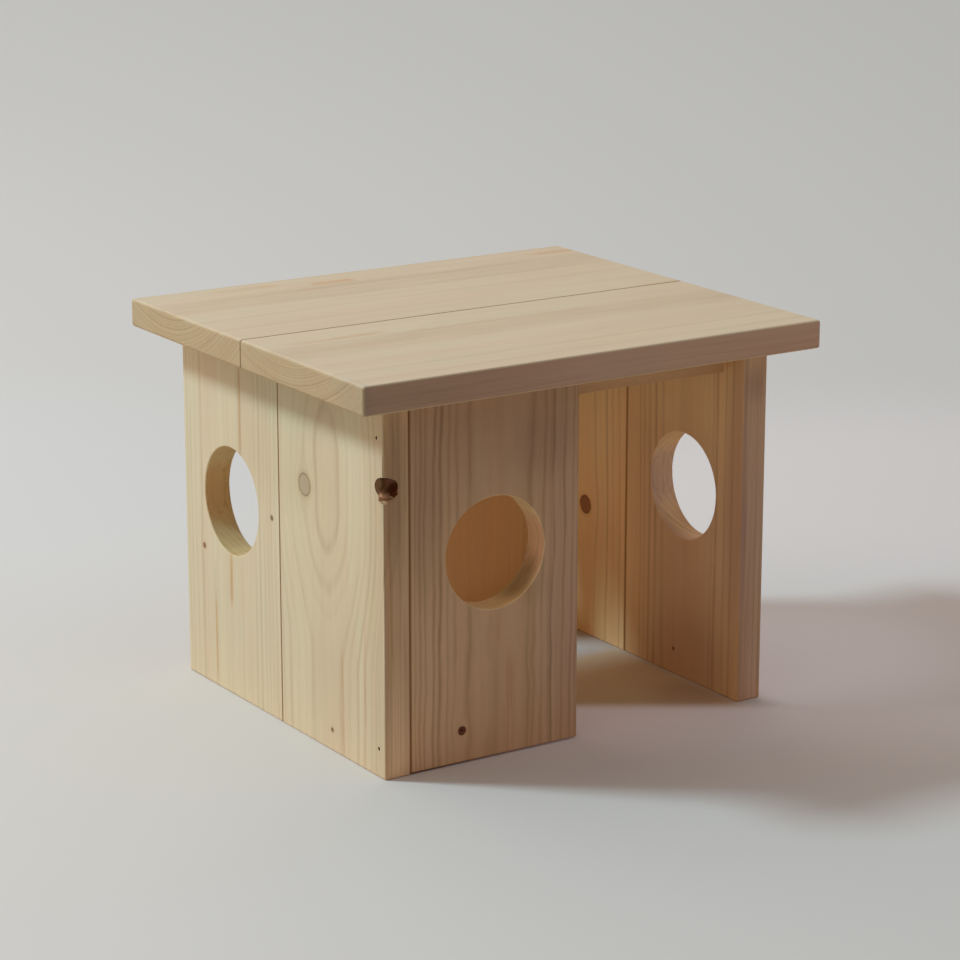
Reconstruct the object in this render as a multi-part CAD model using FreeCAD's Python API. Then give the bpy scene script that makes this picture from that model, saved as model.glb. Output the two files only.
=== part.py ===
"""Wooden house for a small pet: plank walls with round windows, and a plank roof that lifts off.

The house is two equal corners, each a side wall of two planks and one end plank, turned half a turn
from each other about the middle. Rails tie the corners under the roof and leave a doorway at the front
and another at the back.

Frame: millimetres, +X to the right along the front, +Y from front to back, +Z up.
Origin: on the floor, in the middle of the house.
"""

import FreeCAD
import Part
import os

# ---------------------------------------------------------------- driving dimensions, millimetres

# Walls
HOUSE_WIDTH = 280.0          # over the outer faces of the side walls
WALL_HEIGHT = 230.0
WALL_BOARD = 18.0            # thickness of the wall planks
SIDE_PLANK_WIDTH = 124.0     # a side wall is two of these, edge to edge
END_PLANK_WIDTH = 120.0      # the one plank of the front, and of the back
END_PLANK_FOOT_GAP = 1.0     # daylight under an end plank, which hangs from its side wall
WALL_ARRIS = 1.0             # radius that eases each edge of a wall plank

# Round windows
WINDOW_DIAMETER = 70.0
WINDOW_HEIGHT = 129.0        # centre above the floor
WINDOW_ARRIS = 0.8

# Rails between the side walls, under the roof
RAIL_DEPTH = 18.0            # along Y
RAIL_HEIGHT = 18.0
RAIL_SETBACK = 3.3           # free space between an end plank and its rail
RAIL_ARRIS = 0.6

# Roof
ROOF_BOARD = 18.0
SIDE_OVERHANG = 25.0         # past the side walls
END_OVERHANG = 21.0          # past the front and the back
ROOF_ARRIS = 1.8
ROOF_SEAM_ARRIS = 1.0        # the edges where the two roof planks meet

# Battens under the roof, which join its planks and drop between the walls
BATTEN_WIDTH = 20.0          # along X
BATTEN_HEIGHT = 16.0
BATTEN_SIDE_PLAY = 2.0       # to the side wall
BATTEN_END_PLAY = 1.5        # to each rail
BATTEN_ARRIS = 0.6

# Dowels in the seam of each side wall
DOWEL_DIAMETER = 6.0
DOWEL_LENGTH = 30.0
DOWEL_END_SLACK = 1.0        # empty end of each dowel hole
DOWEL_CHAMFER = 0.8
DOWEL_MARGIN = 36.0          # from the foot or the top of the wall to the nearest dowel
DOWELS_PER_SEAM = 3

# Nails, driven through the side walls
NAIL_SHANK = 1.5             # diameter
NAIL_HEAD = 2.3              # diameter
NAIL_HEAD_HEIGHT = 1.2
NAIL_LENGTH = 36.0           # under and with the head
NAIL_POINT = 2.4
NAIL_SINK = 0.4              # how far the head lies under the wood's face
NAIL_EDGE_DISTANCE = 7.0     # from the edge of the side wall, into the end plank's thickness
NAIL_FOOT_DISTANCE = 18.0    # lower nail above the floor
NAIL_TOP_DISTANCE = 21.0     # upper nail below the wall's top

# Screws, driven up through the battens into the roof
SCREW_SHANK = 3.0            # diameter
SCREW_HEAD = 6.0             # diameter
SCREW_LENGTH = 28.0
SCREW_POINT = 4.0
SCREW_RECESS_WIDTH = 1.0
SCREW_RECESS_DEPTH = 1.4
SCREW_RECESS_SPAN = 3.4
SCREW_SINK = 0.3             # how far the head lies under the batten's face
SCREW_END_DISTANCE = 22.0    # outer screw to the batten's end
SCREW_SEAM_DISTANCE = 24.0   # inner screw to the roof's seam

FIT_GAP = 0.03               # all round a dowel, nail or screw in its hole

# ---------------------------------------------------------------- what follows from them

HALF_WIDTH = HOUSE_WIDTH / 2
HOUSE_DEPTH = 2 * SIDE_PLANK_WIDTH
HALF_DEPTH = HOUSE_DEPTH / 2
INNER_HALF_WIDTH = HALF_WIDTH - WALL_BOARD
INNER_HALF_DEPTH = HALF_DEPTH - WALL_BOARD

RAIL_FRONT_FACE = -INNER_HALF_DEPTH + RAIL_SETBACK
RAIL_BACK_FACE = RAIL_FRONT_FACE + RAIL_DEPTH
RAIL_UNDERSIDE = WALL_HEIGHT - RAIL_HEIGHT

ROOF_LENGTH = HOUSE_WIDTH + 2 * SIDE_OVERHANG
ROOF_PLANK_WIDTH = HALF_DEPTH + END_OVERHANG

BATTEN_LEFT_FACE = -INNER_HALF_WIDTH + BATTEN_SIDE_PLAY
BATTEN_HALF_LENGTH = -RAIL_BACK_FACE - BATTEN_END_PLAY
BATTEN_MIDDLE = BATTEN_LEFT_FACE + BATTEN_WIDTH / 2
BATTEN_UNDERSIDE = WALL_HEIGHT - BATTEN_HEIGHT

X_AXIS = FreeCAD.Vector(1, 0, 0)
Y_AXIS = FreeCAD.Vector(0, 1, 0)
Z_AXIS = FreeCAD.Vector(0, 0, 1)
ORIGIN = FreeCAD.Vector(0, 0, 0)


# ---------------------------------------------------------------- shapes

def block(low, high):
    """A square-edged block between two corners."""
    size = [top - bottom for bottom, top in zip(low, high)]
    return Part.makeBox(*size, FreeCAD.Vector(*low))


def lies_on(edge, axis, level):
    """Whether the whole edge lies in the plane where that axis (0, 1 or 2) has that level."""
    box = edge.BoundBox
    low = (box.XMin, box.YMin, box.ZMin)[axis]
    high = (box.XMax, box.YMax, box.ZMax)[axis]
    return abs(low - level) < 1e-6 and abs(high - level) < 1e-6


def is_circle(edge, radius):
    """Whether the edge is a circle, or a part of one, of that radius."""
    if edge.Degenerated or not isinstance(edge.Curve, Part.Circle):
        return False
    return abs(edge.Curve.Radius - radius) < 1e-6


def eased(shape, radius, edges=None):
    """The shape with its edges rounded, by no more than a quarter of its thinnest side."""
    box = shape.BoundBox
    limit = min(box.XLength, box.YLength, box.ZLength) / 4
    return shape.makeFillet(min(radius, limit), edges or shape.Edges)


def rod(start, direction, sections):
    """A turned solid: (distance along direction from start, radius) for each section in order."""
    profile = [FreeCAD.Vector(0, 0, sections[0][0])]
    profile += [FreeCAD.Vector(radius, 0, distance) for distance, radius in sections]
    profile += [FreeCAD.Vector(0, 0, sections[-1][0])]
    points = [profile[0]]
    for point in profile[1:]:
        if (point - points[-1]).Length > 1e-9:
            points.append(point)
    solid = Part.Face(Part.makePolygon(points + [points[0]])).revolve(ORIGIN, Z_AXIS, 360)
    turn = FreeCAD.Rotation(Z_AXIS, direction)
    solid.Placement = FreeCAD.Placement(start, turn)
    return solid


def turned_half(shape):
    """The same piece of the opposite corner: half a turn about the house's upright middle line."""
    other = shape.copy()
    other.rotate(ORIGIN, Z_AXIS, 180)
    return other


def drilled(shape, holes):
    """The shape with every hole cut out."""
    for hole in holes:
        shape = shape.cut(hole)
    return shape


# ---------------------------------------------------------------- fasteners

def nail(start, direction, gap=0.0):
    """A finishing nail whose head's top is at start; with a gap, the hole that it leaves."""
    head = NAIL_HEAD / 2 + gap
    shank = NAIL_SHANK / 2 + gap
    mouth = NAIL_SINK if gap else 0.0
    end = NAIL_LENGTH + gap
    sections = [(-mouth, head), (NAIL_HEAD_HEIGHT + gap, head), (NAIL_HEAD_HEIGHT + gap, shank),
                (end - NAIL_POINT, shank), (end, shank / 4)]
    return rod(start, direction, sections)


def screw(start, gap=0.0):
    """A countersunk screw pointing up, head's face at start; with a gap, the hole that it leaves."""
    head = SCREW_HEAD / 2 + gap
    shank = SCREW_SHANK / 2 + gap
    cone = head - shank
    mouth = SCREW_SINK if gap else 0.0
    end = SCREW_LENGTH + gap
    sections = [(-mouth, head), (0, head), (cone, shank), (end - SCREW_POINT, shank), (end, shank / 5)]
    solid = rod(start, Z_AXIS, sections)
    if gap:
        return solid
    half_span = SCREW_RECESS_SPAN / 2
    half_width = SCREW_RECESS_WIDTH / 2
    for half_x, half_y in ((half_span, half_width), (half_width, half_span)):
        slot = block((start.x - half_x, start.y - half_y, start.z),
                     (start.x + half_x, start.y + half_y, start.z + SCREW_RECESS_DEPTH))
        solid = solid.cut(slot)
    return solid


def dowel(middle, direction):
    """A chamfered dowel, lying with its middle at that point."""
    half = DOWEL_LENGTH / 2
    radius = DOWEL_DIAMETER / 2
    sections = [(-half, radius - DOWEL_CHAMFER), (-half + DOWEL_CHAMFER, radius),
                (half - DOWEL_CHAMFER, radius), (half, radius - DOWEL_CHAMFER)]
    return rod(middle, direction, sections)


def dowel_hole(middle, direction):
    """The two blind holes that a dowel is glued into, as one cutter."""
    half = DOWEL_LENGTH / 2 + DOWEL_END_SLACK
    radius = DOWEL_DIAMETER / 2 + FIT_GAP
    return rod(middle, direction, [(-half, radius), (half, radius)])


# ---------------------------------------------------------------- where the fasteners go

def dowel_middles():
    """The middle of each dowel in the left wall's seam, from the foot up."""
    first = DOWEL_MARGIN
    last = WALL_HEIGHT - DOWEL_MARGIN
    step = (last - first) / (DOWELS_PER_SEAM - 1)
    x = -HALF_WIDTH + WALL_BOARD / 2
    return [FreeCAD.Vector(x, 0, first + step * number) for number in range(DOWELS_PER_SEAM)]


def nail_start(y, z):
    """The top of the head of a nail in the left wall's outer face."""
    return FreeCAD.Vector(-HALF_WIDTH + NAIL_SINK, y, z)


def front_plank_nail_starts():
    """The two nails that hold the front plank to the left wall."""
    y = -HALF_DEPTH + NAIL_EDGE_DISTANCE
    heights = (NAIL_FOOT_DISTANCE, WALL_HEIGHT - NAIL_TOP_DISTANCE)
    return [nail_start(y, z) for z in heights]


def left_rail_nail_starts():
    """The nails that hold the left ends of the front and the rear rail."""
    y = (RAIL_FRONT_FACE + RAIL_BACK_FACE) / 2
    z = WALL_HEIGHT - RAIL_HEIGHT / 2
    return [nail_start(y, z), nail_start(-y, z)]


def left_batten_screw_starts():
    """The screws of the left batten: two in each roof plank."""
    outer = BATTEN_HALF_LENGTH - SCREW_END_DISTANCE
    z = BATTEN_UNDERSIDE + SCREW_SINK
    places = (-outer, -SCREW_SEAM_DISTANCE, SCREW_SEAM_DISTANCE, outer)
    return [FreeCAD.Vector(BATTEN_MIDDLE, y, z) for y in places]


# ---------------------------------------------------------------- pieces of one corner

def windowed(plank, middle, direction):
    """The plank with a round window through it, its two rims eased."""
    radius = WINDOW_DIAMETER / 2
    start = middle - direction * (2 * WALL_BOARD)
    plank = plank.cut(Part.makeCylinder(radius, 4 * WALL_BOARD, start, direction))
    return eased(plank, WINDOW_ARRIS, [edge for edge in plank.Edges if is_circle(edge, radius)])


def left_wall_plank(front_edge):
    """A plank of the left wall, from that edge backwards, with its dowel and nail holes."""
    plank = block((-HALF_WIDTH, front_edge, 0),
                  (-INNER_HALF_WIDTH, front_edge + SIDE_PLANK_WIDTH, WALL_HEIGHT))
    plank = eased(plank, WALL_ARRIS)
    nails = front_plank_nail_starts() + left_rail_nail_starts()
    own_nails = [start for start in nails if 0 < start.y - front_edge < SIDE_PLANK_WIDTH]
    plank = drilled(plank, [nail(start, X_AXIS, FIT_GAP) for start in own_nails])
    return drilled(plank, [dowel_hole(middle, Y_AXIS) for middle in dowel_middles()])


def left_wall_front_plank():
    """The plain plank of the left wall."""
    return left_wall_plank(-HALF_DEPTH)


def left_wall_rear_plank():
    """The plank of the left wall that has the window."""
    middle = FreeCAD.Vector(-HALF_WIDTH, SIDE_PLANK_WIDTH / 2, WINDOW_HEIGHT)
    return windowed(left_wall_plank(0), middle, X_AXIS)


def front_plank():
    """The plank that closes the left part of the front, between the side wall and the doorway."""
    plank = block((-INNER_HALF_WIDTH, -HALF_DEPTH, END_PLANK_FOOT_GAP),
                  (-INNER_HALF_WIDTH + END_PLANK_WIDTH, -INNER_HALF_DEPTH, WALL_HEIGHT))
    plank = eased(plank, WALL_ARRIS)
    plank = drilled(plank, [nail(start, X_AXIS, FIT_GAP) for start in front_plank_nail_starts()])
    middle = FreeCAD.Vector(-INNER_HALF_WIDTH + END_PLANK_WIDTH / 2, -HALF_DEPTH, WINDOW_HEIGHT)
    return windowed(plank, middle, Y_AXIS)


def front_rail():
    """The rail over the front doorway, nailed at each end."""
    rail = block((-INNER_HALF_WIDTH, RAIL_FRONT_FACE, RAIL_UNDERSIDE),
                 (INNER_HALF_WIDTH, RAIL_BACK_FACE, WALL_HEIGHT))
    ends = [edge for edge in rail.Edges
            if lies_on(edge, 0, -INNER_HALF_WIDTH) or lies_on(edge, 0, INNER_HALF_WIDTH)]
    long_edges = [edge for edge in rail.Edges if not any(edge.isSame(end) for end in ends)]
    rail = eased(rail, RAIL_ARRIS, long_edges)
    left_nail = nail(left_rail_nail_starts()[0], X_AXIS, FIT_GAP)
    right_nail = turned_half(nail(left_rail_nail_starts()[1], X_AXIS, FIT_GAP))
    return drilled(rail, [left_nail, right_nail])


def left_wall_dowels():
    """The dowels that join the two planks of the left wall."""
    return Part.makeCompound([dowel(middle, Y_AXIS) for middle in dowel_middles()])


def nails(starts):
    """Nails driven along +X at those places."""
    return Part.makeCompound([nail(start, X_AXIS) for start in starts])


# ---------------------------------------------------------------- roof

def roof_front_plank():
    """The front plank of the roof, its seam edges eased less than the others."""
    plank = block((-ROOF_LENGTH / 2, -ROOF_PLANK_WIDTH, WALL_HEIGHT),
                  (ROOF_LENGTH / 2, 0, WALL_HEIGHT + ROOF_BOARD))
    outer_edges = [edge for edge in plank.Edges if not lies_on(edge, 1, 0)]
    plank = eased(plank, ROOF_ARRIS, outer_edges)
    seam_edges = [edge for edge in plank.Edges if not edge.Degenerated and lies_on(edge, 1, 0)]
    plank = eased(plank, ROOF_SEAM_ARRIS, seam_edges)
    starts = left_batten_screw_starts()
    holes = [screw(start, FIT_GAP) for start in starts]
    holes += [turned_half(hole) for hole in holes]
    return drilled(plank, holes)


def roof_left_batten():
    """The batten inside the left wall, under both roof planks."""
    batten = block((BATTEN_LEFT_FACE, -BATTEN_HALF_LENGTH, BATTEN_UNDERSIDE),
                   (BATTEN_LEFT_FACE + BATTEN_WIDTH, BATTEN_HALF_LENGTH, WALL_HEIGHT))
    lower_edges = [edge for edge in batten.Edges if lies_on(edge, 2, BATTEN_UNDERSIDE)]
    batten = eased(batten, BATTEN_ARRIS, lower_edges)
    return drilled(batten, [screw(start, FIT_GAP) for start in left_batten_screw_starts()])


def left_batten_screws():
    """The screws of the left batten."""
    return Part.makeCompound([screw(start) for start in left_batten_screw_starts()])


# ---------------------------------------------------------------- the whole house

def pieces():
    """Every piece by its node name: one corner is made, and the other is the same turned round."""
    one_corner = {
        "left_wall_front_plank": ("right_wall_rear_plank", left_wall_front_plank()),
        "left_wall_rear_plank": ("right_wall_front_plank", left_wall_rear_plank()),
        "left_wall_dowels": ("right_wall_dowels", left_wall_dowels()),
        "front_plank": ("back_plank", front_plank()),
        "front_plank_nails": ("back_plank_nails", nails(front_plank_nail_starts())),
        "front_rail": ("rear_rail", front_rail()),
        "left_rail_nails": ("right_rail_nails", nails(left_rail_nail_starts())),
        "roof_front_plank": ("roof_rear_plank", roof_front_plank()),
        "roof_left_batten": ("roof_right_batten", roof_left_batten()),
        "roof_left_batten_screws": ("roof_right_batten_screws", left_batten_screws()),
    }
    shapes = {}
    for name, (opposite_name, shape) in one_corner.items():
        shapes[name] = shape
        shapes[opposite_name] = turned_half(shape)
    return shapes


def main():
    """Write each piece to its own STEP file."""
    os.makedirs("parts", exist_ok=True)
    for name, shape in pieces().items():
        shape.exportStep(os.path.join("parts", name + ".step"))
        solids = len(shape.Solids)
        print(f"{name}: {solids} solid(s), {shape.Volume:.0f} mm3, valid {shape.isValid()}")


main()
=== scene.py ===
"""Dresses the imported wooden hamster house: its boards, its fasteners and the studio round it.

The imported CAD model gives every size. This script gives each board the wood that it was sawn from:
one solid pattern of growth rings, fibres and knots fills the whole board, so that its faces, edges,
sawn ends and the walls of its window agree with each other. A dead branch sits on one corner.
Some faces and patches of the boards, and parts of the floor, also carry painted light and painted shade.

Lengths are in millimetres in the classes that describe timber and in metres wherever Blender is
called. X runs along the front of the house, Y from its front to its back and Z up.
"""

import logging
from dataclasses import asdict, dataclass, field, replace
from enum import Enum
from math import cos, pi, radians, sin, tau
from typing import Union

import bmesh
import bpy
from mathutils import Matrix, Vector, noise


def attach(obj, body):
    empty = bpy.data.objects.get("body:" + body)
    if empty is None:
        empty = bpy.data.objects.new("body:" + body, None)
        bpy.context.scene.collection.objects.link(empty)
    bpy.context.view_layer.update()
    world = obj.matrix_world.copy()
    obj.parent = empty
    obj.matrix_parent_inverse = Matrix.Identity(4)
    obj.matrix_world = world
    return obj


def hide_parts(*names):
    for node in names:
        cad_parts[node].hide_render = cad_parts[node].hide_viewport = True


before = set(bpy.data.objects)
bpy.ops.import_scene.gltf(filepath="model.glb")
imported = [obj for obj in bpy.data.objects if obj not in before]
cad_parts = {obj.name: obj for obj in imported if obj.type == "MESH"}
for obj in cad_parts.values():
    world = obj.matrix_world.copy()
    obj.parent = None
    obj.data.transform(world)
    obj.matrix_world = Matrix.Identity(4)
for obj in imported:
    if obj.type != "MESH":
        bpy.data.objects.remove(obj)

LOG = logging.getLogger("hamster_house")
MILLIMETRES = 1000.0

Triple = tuple[float, float, float]
Colour = tuple[float, float, float]


def paint(*levels: int) -> Colour:
    """Turns a screen colour into the linear colour that a shader takes.

    Args:
        levels: Red, green and blue from 0 to 255.

    Returns:
        The same colour in linear values from 0 to 1.
    """
    shares = [level / 255 for level in levels]
    return tuple(share / 12.92 if share <= 0.04045 else ((share + 0.055) / 1.055) ** 2.4 for share in shares)


def placed(name: str, data: bpy.types.ID) -> bpy.types.Object:
    """Adds an object to the scene.

    Args:
        name: Its name.
        data: The mesh, lamp or camera that it shows.

    Returns:
        The object.
    """
    made = bpy.data.objects.new(name, data)
    bpy.context.scene.collection.objects.link(made)
    return made


def evaluated(piece: bpy.types.Object) -> bpy.types.Mesh:
    """The mesh that an object's modifiers make of it."""
    graph = bpy.context.evaluated_depsgraph_get()
    return bpy.data.meshes.new_from_object(piece.evaluated_get(graph))


class Axis(Enum):
    """A direction of the house, as the place of its number in a point."""

    ALONG_FRONT = 0
    FRONT_TO_BACK = 1
    UP = 2

    @property
    def unit(self) -> Vector:
        """A vector of length one in this direction."""
        return Vector([float(place == self.value) for place in range(3)])


# ---- formulas written as nodes


def feed(socket: bpy.types.NodeSocket, value: object) -> None:
    """Links or sets one input.

    Args:
        socket: The input.
        value: A Link or the output of a node to link, or else what the input is set to.
    """
    value = value.socket if isinstance(value, Link) else value
    if isinstance(value, bpy.types.NodeSocket):
        socket.id_data.links.new(value, socket)
    elif isinstance(value, (tuple, Vector)):
        socket.default_value = (*value, 1.0) if socket.type == "RGBA" else tuple(value)
    else:
        socket.default_value = value


class Link:
    """What a node gives, with the arithmetic of a formula."""

    MATH = "ShaderNodeMath"

    def __init__(self, tree: bpy.types.NodeTree, socket: bpy.types.NodeSocket) -> None:
        """Keeps the tree and the output of one of its nodes."""
        self.tree, self.socket = tree, socket

    def node(self, operation: str, *others: object, **named: object) -> bpy.types.Node:
        """Adds a node that calculates with this value.

        Args:
            operation: Blender's name of the operation.
            others: The values that follow this one.
            named: The values of inputs that have a name of their own.

        Returns:
            The node.
        """
        node = self.tree.nodes.new(self.MATH)
        node.operation = operation
        for place, value in (*enumerate((self, *others)), *named.items()):
            feed(node.inputs[place], value)
        return node

    def math(self, operation: str, *others: object) -> "Link":
        """The result of such a node, of this value's own kind."""
        return type(self)(self.tree, self.node(operation, *others).outputs[0])

    def __add__(self, other: object) -> "Link":
        """This value plus another."""
        return self.math("ADD", other)

    def __sub__(self, other: object) -> "Link":
        """This value less another."""
        return self.math("SUBTRACT", other)

    def __mul__(self, other: object) -> "Link":
        """This value times another, part by part."""
        return self.math("MULTIPLY", other)

    def __truediv__(self, other: object) -> "Link":
        """This value over another, part by part."""
        return self.math("DIVIDE", other)


class Signal(Link):
    """A number that varies over a shape."""

    def __pow__(self, other: object) -> "Signal":
        """This number to a power."""
        return self.math("POWER", other)

    def held(self, low: float, high: float) -> "Signal":
        """This number, held between two limits."""
        return self.math("MAXIMUM", low).math("MINIMUM", high)

    def inverted(self) -> "Signal":
        """One less this number."""
        return self * -1.0 + 1.0

    def step(self, start: float, end: float) -> "Signal":
        """A smooth step over this number.

        Args:
            start: Where the step begins, with 0 before it.
            end: Where the step ends, with 1 after it. It may be below start.

        Returns:
            A number from 0 to 1.
        """
        node = self.tree.nodes.new("ShaderNodeMapRange")
        node.interpolation_type = "SMOOTHSTEP"
        feed(node.inputs["Value"], self)
        node.inputs["From Min"].default_value = min(start, end)
        node.inputs["From Max"].default_value = max(start, end)
        risen = Signal(self.tree, node.outputs["Result"])
        return risen if start < end else risen.inverted()


class Arrow(Link):
    """A vector or a colour that varies over a shape."""

    MATH = "ShaderNodeVectorMath"

    def scaled(self, factor: object) -> "Arrow":
        """This vector made longer or shorter by a number."""
        return Arrow(self.tree, self.node("SCALE", Scale=factor).outputs[0])

    def dot(self, other: object) -> Signal:
        """How far this vector reaches along another."""
        return Signal(self.tree, self.node("DOT_PRODUCT", other).outputs["Value"])

    def length(self) -> Signal:
        """How long this vector is."""
        return Signal(self.tree, self.node("LENGTH").outputs["Value"])


class Sheet:
    """A node tree, with short ways to fill it."""

    def __init__(self, tree: bpy.types.NodeTree) -> None:
        """Empties the tree and keeps it."""
        tree.nodes.clear()
        self.tree = tree

    def add(self, kind: str, inputs: Union[dict[object, object], None] = None,
            **settings: object) -> bpy.types.Node:
        """Adds a node.

        Args:
            kind: Blender's name of the node.
            inputs: What each input gets, by its name or its place.
            settings: What each property of the node is set to.

        Returns:
            The node.
        """
        node = self.tree.nodes.new(kind)
        for name, value in settings.items():
            setattr(node, name, value)
        for name, value in (inputs or {}).items():
            feed(node.inputs[name], value)
        return node

    def vector(self, *parts: object) -> Arrow:
        """A vector joined from three numbers."""
        return Arrow(self.tree, self.add("ShaderNodeCombineXYZ", dict(enumerate(parts))).outputs[0])

    def parts(self, vector: Link) -> tuple[Signal, Signal, Signal]:
        """The three numbers of a vector."""
        outputs = self.add("ShaderNodeSeparateXYZ", {0: vector}).outputs
        return tuple(Signal(self.tree, output) for output in outputs)

    def mix(self, under: object, over: object, share: object, mode: str = "MIX") -> Arrow:
        """Lays one colour over another.

        Args:
            under: The colour below.
            over: The colour on top.
            share: How much of the top colour shows, from 0 to 1.
            mode: Blender's name of the way of mixing.

        Returns:
            The mixed colour.
        """
        inputs = {0: share, 6: under, 7: over}
        node = self.add("ShaderNodeMix", inputs, data_type="RGBA", blend_type=mode)
        return Arrow(self.tree, node.outputs[2])

    def noise(self, place: Link, detail: float) -> bpy.types.Node:
        """Adds soft noise with blobs of about one unit.

        Args:
            place: The vector or the number that it follows.
            detail: How many finer layers it has.

        Returns:
            The noise node.
        """
        line = isinstance(place, Signal)
        inputs = {"W" if line else "Vector": place, "Scale": 1.0, "Detail": detail}
        return self.add("ShaderNodeTexNoise", inputs, noise_dimensions="1D" if line else "3D")

    def level(self, noise_node: bpy.types.Node) -> Signal:
        """The number that a noise node gives, about 0.3 to 0.7."""
        return Signal(self.tree, noise_node.outputs[0])

    def push(self, noise_node: bpy.types.Node, far: float) -> Arrow:
        """A small move in any direction, by a noise node's colour."""
        return (Arrow(self.tree, noise_node.outputs["Color"]) - (0.5, 0.5, 0.5)).scaled(far)

    def seen(self) -> bpy.types.NodeOutputs:
        """The outputs that say how a ray of light came here."""
        return self.add("ShaderNodeLightPath").outputs


class Surface(Sheet):
    """The nodes of one material, which reads points in its object's own coordinates."""

    def __init__(self, name: str) -> None:
        """Opens an empty material.

        Args:
            name: The material's name.
        """
        self.made = bpy.data.materials.new(name)
        self.made.use_nodes = True
        super().__init__(self.made.node_tree)
        coordinates = self.add("ShaderNodeTexCoord").outputs
        self.place = Arrow(self.tree, coordinates["Object"])
        self.point = self.place.scaled(MILLIMETRES)
        self.normal = Arrow(self.tree, coordinates["Normal"])

    def relief(self, height: Signal, depth: float, strength: float = 1.0) -> bpy.types.NodeSocket:
        """The normal of an uneven surface.

        Args:
            height: Its height, in units of depth.
            depth: The unit in metres.
            strength: How much of the relief shows.

        Returns:
            The normal.
        """
        inputs = {"Height": height, "Distance": depth, "Strength": strength}
        return self.add("ShaderNodeBump", inputs).outputs["Normal"]

    def finished(self, inputs: dict[str, object]) -> bpy.types.Material:
        """Adds the shader.

        Args:
            inputs: What each of its inputs gets.

        Returns:
            The material.
        """
        shader = self.add("ShaderNodeBsdfPrincipled", inputs)
        self.add("ShaderNodeOutputMaterial", {"Surface": shader.outputs["BSDF"]})
        return self.made


# ---- timber


class KnotKind(Enum):
    """How a branch shows in a plank, as the darkness of its rim and the reach of the stain round it."""

    SOUND = (0.75, 1.6)
    DEAD = (0.95, 1.6)
    PIN = (0.75, 2.4)


class Side(Enum):
    """On which side of the heart a dark year shows, as the sign of the place across the board."""

    LOW = -1
    BOTH = 0
    HIGH = 1


@dataclass(frozen=True)
class Bend:
    """A stretch of the trunk over which its heart moves away from the shown face."""

    start: float
    end: float
    away: float

    def share(self, along: float) -> float:
        """How much of the bend lies behind one place along the grain, from 0 to 1."""
        run = min(1.0, max(0.0, (along - self.start) / (self.end - self.start)))
        return run * run * (3.0 - 2.0 * run)


@dataclass(frozen=True)
class Heart:
    """What the growth rings turn about: its place across the board and its depth off the shown face."""

    across: float
    depth: float
    ring: float
    lean: float = 0.0
    bends: tuple[Bend, ...] = ()

    def radius(self, offset: float, along: float) -> float:
        """The radius of the ring that crosses the shown face at one place across and along."""
        depth = self.depth + sum(bend.away * bend.share(along) for bend in self.bends)
        return (offset**2 + depth**2) ** 0.5


@dataclass(frozen=True)
class DarkYear:
    """A ring that stands out: where it crosses the shown face, and how wide and dark it is."""

    offset: float
    strength: float
    width: float = 1.5
    side: Side = Side.BOTH
    height: float = 0.0
    low: Union[float, None] = None
    high: Union[float, None] = None


@dataclass(frozen=True)
class Knot:
    """A branch in a board: a point on its middle line, the way it grows and its radius."""

    at: Triple
    towards: Triple
    radius: float
    kind: KnotKind
    heart: Colour
    rim: Colour

    def ways(self, grain: Vector) -> tuple[Vector, Vector]:
        """The way sideways across the grain, and the way across the knot that is nearest the grain."""
        sideways = Vector(self.towards).cross(grain).normalized()
        return sideways, sideways.cross(Vector(self.towards).normalized())


@dataclass(frozen=True)
class Streak:
    """A long stain of resin or darker wood along the grain, about one line in the board."""

    at: Triple
    length: float
    width: float
    colour: Colour
    strength: float


@dataclass(frozen=True)
class Seam:
    """A plane in which this board meets another, with painted shade and dust darkening the groove between
    their arrises.
    """

    axis: Axis
    place: float
    reach: float = 1.1
    colour: Colour = (0.55, 0.42, 0.32)


@dataclass(frozen=True)
class Shade:
    """A soft patch where a surface is darker or paler: an ellipsoid that fades out to its skin."""

    centre: Triple
    halves: Triple
    colour: Colour

    def share(self, point: Arrow) -> Signal:
        """How far a point lies in the patch, from 0 at its skin to 1 in its middle."""
        return ((point - self.centre) * tuple(1.0 / half for half in self.halves)).length().step(1.0, 0.25)


@dataclass(frozen=True)
class Bore:
    """The wall of a round window, about a line along one axis, with a tint of painted light laid over it."""

    centre: Triple
    axis: Axis
    # Painted light on the bore's wall: a tint that mostly makes it paler.
    fresh: Colour = (1.1, 1.05, 0.95)
    radius: float = 35.0


@dataclass(frozen=True)
class SpruceTone:
    """The colours of one board of planed spruce and how clearly its rings show, with painted light and shade
    on its edges and its far side.
    """

    early: Colour = paint(217, 201, 166)
    late: Colour = paint(150, 108, 66)
    blush: Colour = paint(214, 186, 153)
    sawn: Colour = (0.87, 0.80, 0.69)
    # Painted shade: a tint on the board's edges, the faces across its width.
    edge: Colour = (0.96, 0.80, 0.84)
    # Painted light and shade on the face opposite the shown face: paler inside the house and under the roof,
    # darker on some outer faces.
    far_side: Colour = (1.0, 1.0, 1.0)
    edge_lines: float = 0.40
    lines: float = 0.09
    dark_lines: float = 0.50
    sawn_lines: float = 0.50
    fibre: float = 0.11


@dataclass(frozen=True)
class Speckle:
    """Soft noise stretched along the grain, with its size across and along it.

    Each layer differs from the others. One that follows bends with the grain round the knots, and one
    that shows only in places fades in between two levels of its noise.
    """

    side: float
    length: float
    layer: float
    detail: float = 2.0
    follows: bool = False
    shows: Union[tuple[float, float], None] = None


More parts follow.
